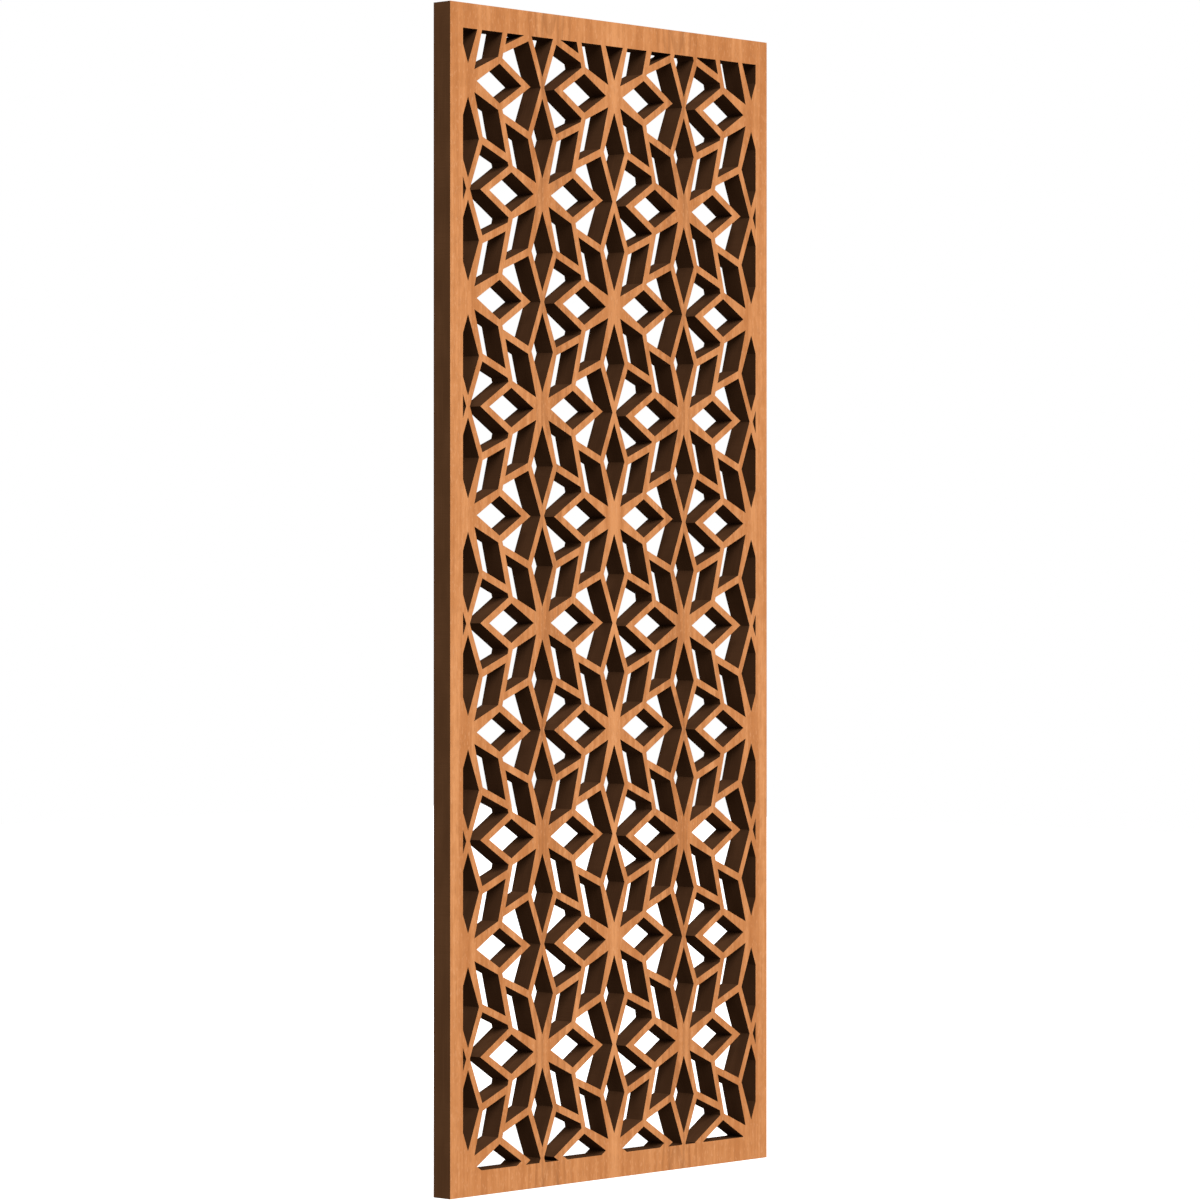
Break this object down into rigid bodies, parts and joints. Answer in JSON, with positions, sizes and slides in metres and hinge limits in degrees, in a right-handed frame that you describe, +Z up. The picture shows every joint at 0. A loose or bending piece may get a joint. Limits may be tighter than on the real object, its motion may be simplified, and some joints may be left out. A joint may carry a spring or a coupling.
{
  "type": "mashrabiya screen",
  "caption": "Tall flat wooden screen panel, cut right through with a lattice of petalled stars inside a plain border.",
  "frame": {"origin": "on the flat back, at the middle of the bottom rail, where the panel is fastened to its opening", "axes": "+X across the width to the right as seen from the front, +Z up, +Y out of the back, so the face looks towards -Y"},
  "size_m": [0.611, 0.029, 1.5],
  "materials": {
    "screen_wood": "satin cherry face over dark brown edges and opening walls"
  },
  "bodies": {
    "root": {"screen_panel": "screen_wood"}
  },
  "joints": []
}
